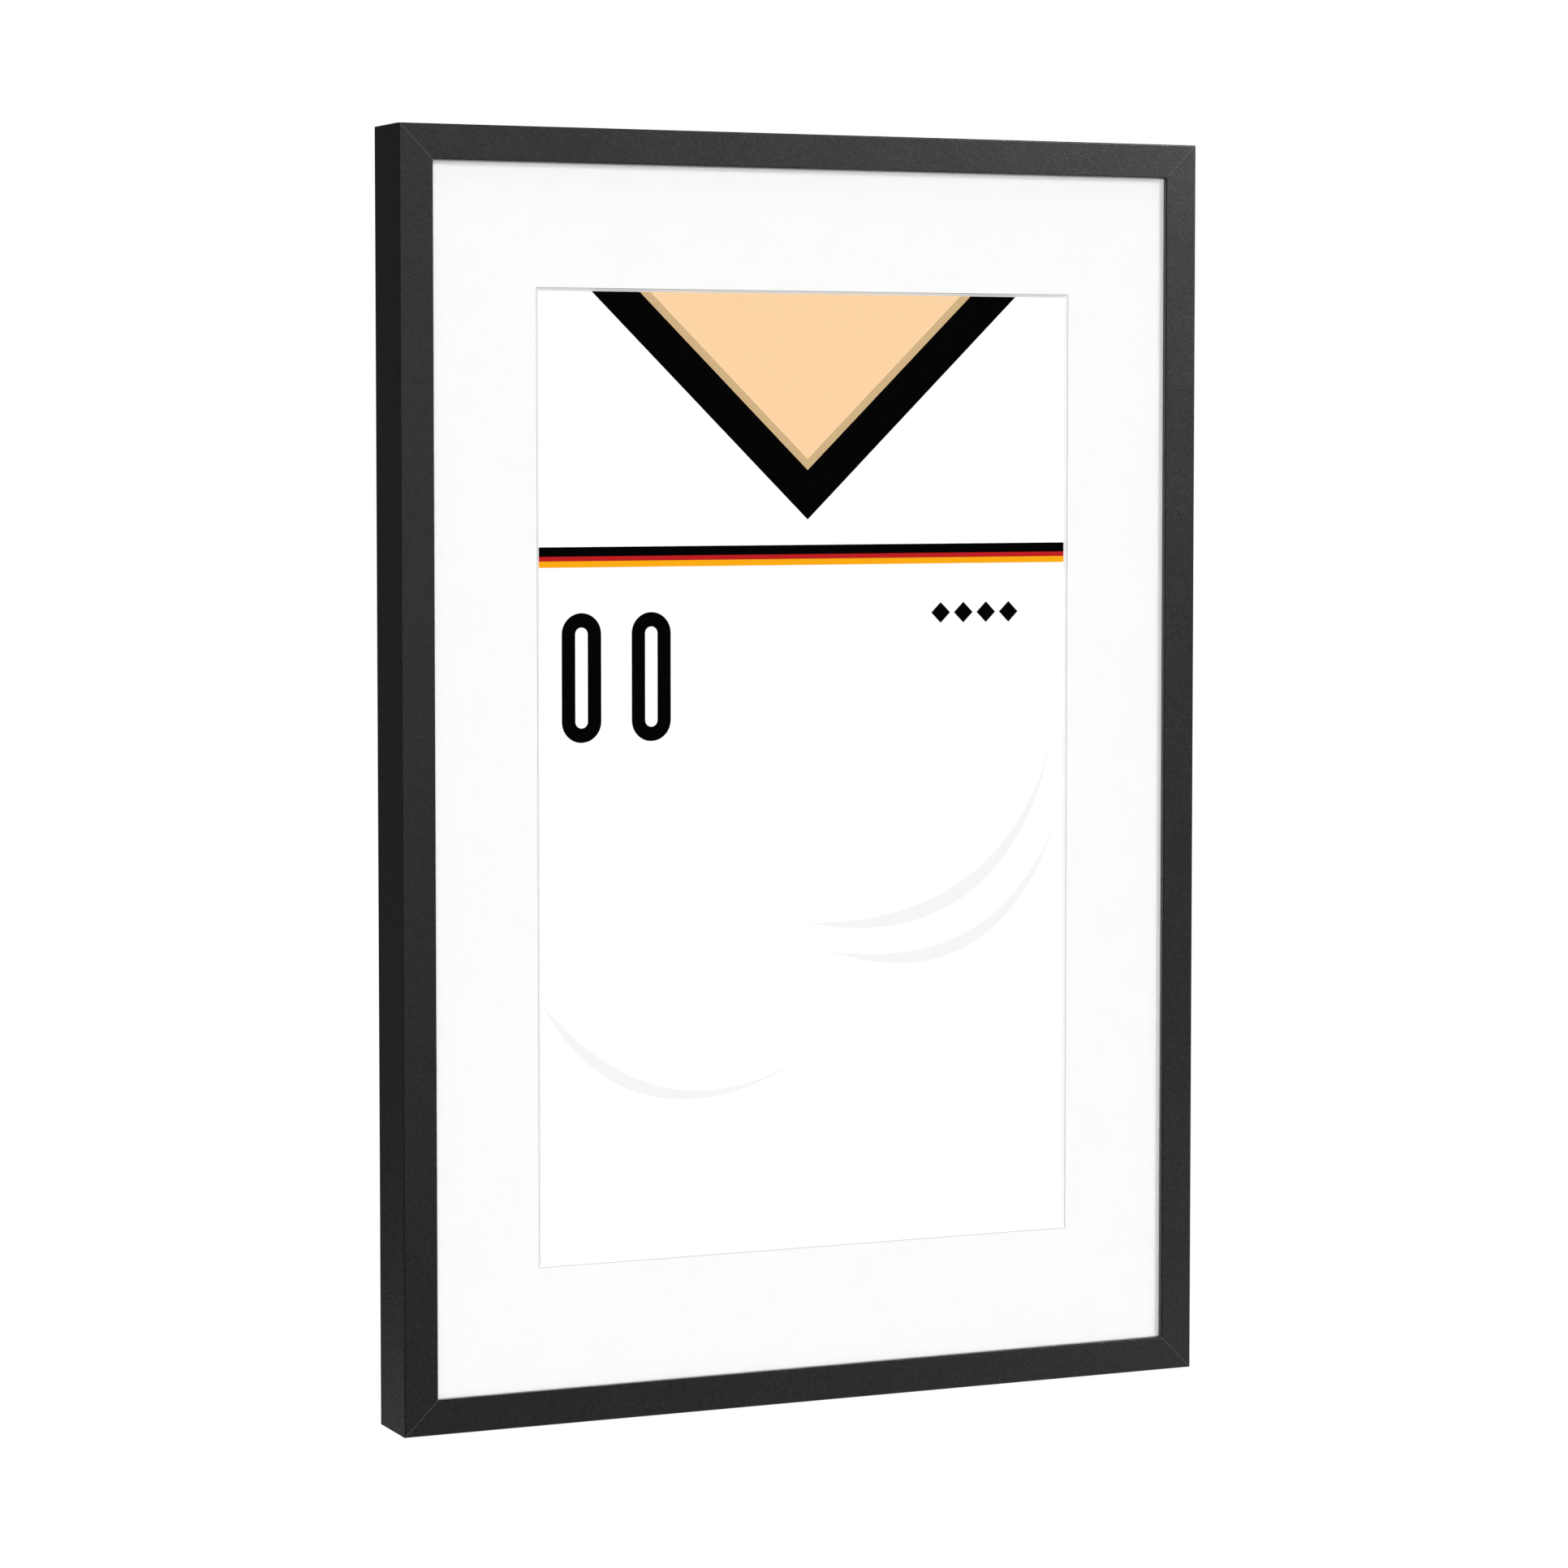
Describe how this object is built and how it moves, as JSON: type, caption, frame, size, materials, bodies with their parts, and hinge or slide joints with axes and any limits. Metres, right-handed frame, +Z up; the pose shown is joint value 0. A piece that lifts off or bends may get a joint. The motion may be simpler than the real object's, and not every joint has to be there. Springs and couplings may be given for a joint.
{
  "type": "framed art print",
  "caption": "Deep black gallery frame with a bevelled window mount over a flat sports-shirt print, glazed, with a clamped backboard and ring hangers.",
  "frame": {"origin": "on the wall plane, in the middle of the frame's width and height", "axes": "+X to the right seen from the front, +Y back into the wall, +Z up; the print faces -Y"},
  "size_m": [0.428, 0.04, 0.628],
  "materials": {
    "rail_lacquer": "satin black lacquer with a fine speckle, on solid wood moulding",
    "nail_steel": "bright stamped steel",
    "clear_glazing": "clear anti-reflective float glass",
    "mat_board": "white window mount board, smooth surface paper over a white core",
    "mount_board": "plain undermount board",
    "print_paper": "bright white coated art paper, matt",
    "ink_black": "matt black printing ink",
    "ink_red": "matt red printing ink",
    "ink_gold": "matt golden yellow printing ink",
    "ink_peach": "matt peach printing ink",
    "ink_tan": "matt tan printing ink",
    "ink_grey": "matt very pale grey printing ink",
    "linen_tape": "gummed linen hinge tape",
    "batten_wood": "planed pine batten",
    "backboard_fibre": "medium density fibreboard",
    "button_zinc": "stamped steel, bright zinc plate",
    "screw_zinc": "cross-recess pan head, bright zinc plate",
    "strap_zinc": "stamped steel strap, bright zinc plate",
    "ring_nickel": "bright nickel-plated steel wire",
    "bumper_rubber": "matt black rubber"
  },
  "bodies": {
    "frame": {"rail_top": "rail_lacquer", "rail_bottom": "rail_lacquer", "rail_left": "rail_lacquer", "rail_right": "rail_lacquer", "corner_v_nails": "nail_steel", "glazing": "clear_glazing", "window_mount": "mat_board", "print_sheet": "print_paper", "ink_black": "ink_black", "ink_red": "ink_red", "ink_gold": "ink_gold", "ink_peach": "ink_peach", "ink_tan": "ink_tan", "ink_grey": "ink_grey", "hinge_tapes": "linen_tape", "mount_board": "mount_board", "spacer_top": "batten_wood", "spacer_bottom": "batten_wood", "spacer_left": "batten_wood", "spacer_right": "batten_wood", "backboard": "backboard_fibre", "turn_button_screws": "screw_zinc", "hanger_strap_left": "strap_zinc", "hanger_strap_right": "strap_zinc", "hanger_screws": "screw_zinc", "wall_bumpers": "bumper_rubber"},
    "button_left_high": {"turn_button_left_high": "button_zinc"},
    "button_left_mid": {"turn_button_left_mid": "button_zinc"},
    "button_left_low": {"turn_button_left_low": "button_zinc"},
    "button_right_high": {"turn_button_right_high": "button_zinc"},
    "button_right_mid": {"turn_button_right_mid": "button_zinc"},
    "button_right_low": {"turn_button_right_low": "button_zinc"},
    "button_top": {"turn_button_top": "button_zinc"},
    "button_bottom": {"turn_button_bottom": "button_zinc"},
    "ring_left": {"hanger_ring_left": "ring_nickel"},
    "ring_right": {"hanger_ring_right": "ring_nickel"}
  },
  "joints": [
    {"name": "turn_left_high", "type": "hinge", "parent": "frame", "child": "button_left_high", "pos_m": [-0.208, -0.0033, 0.205], "axis": [0, 1, 0], "range_deg": [-90, 90]},
    {"name": "turn_left_mid", "type": "hinge", "parent": "frame", "child": "button_left_mid", "pos_m": [-0.208, -0.0033, 0], "axis": [0, 1, 0], "range_deg": [-90, 90]},
    {"name": "turn_left_low", "type": "hinge", "parent": "frame", "child": "button_left_low", "pos_m": [-0.208, -0.0033, -0.205], "axis": [0, 1, 0], "range_deg": [-90, 90]},
    {"name": "turn_right_high", "type": "hinge", "parent": "frame", "child": "button_right_high", "pos_m": [0.208, -0.0033, 0.205], "axis": [0, 1, 0], "range_deg": [-90, 90]},
    {"name": "turn_right_mid", "type": "hinge", "parent": "frame", "child": "button_right_mid", "pos_m": [0.208, -0.0033, 0], "axis": [0, 1, 0], "range_deg": [-90, 90]},
    {"name": "turn_right_low", "type": "hinge", "parent": "frame", "child": "button_right_low", "pos_m": [0.208, -0.0033, -0.205], "axis": [0, 1, 0], "range_deg": [-90, 90]},
    {"name": "turn_top", "type": "hinge", "parent": "frame", "child": "button_top", "pos_m": [0, -0.0033, 0.308], "axis": [0, 1, 0], "range_deg": [-90, 90]},
    {"name": "turn_bottom", "type": "hinge", "parent": "frame", "child": "button_bottom", "pos_m": [0, -0.0033, -0.308], "axis": [0, 1, 0], "range_deg": [-90, 90]},
    {"name": "swing_ring_left", "type": "hinge", "parent": "frame", "child": "ring_left", "pos_m": [-0.207, -0.00205, 0.14], "axis": [1, 0, 0], "range_deg": [0, 180]},
    {"name": "swing_ring_right", "type": "hinge", "parent": "frame", "child": "ring_right", "pos_m": [0.207, -0.00205, 0.14], "axis": [1, 0, 0], "range_deg": [0, 180]}
  ]
}
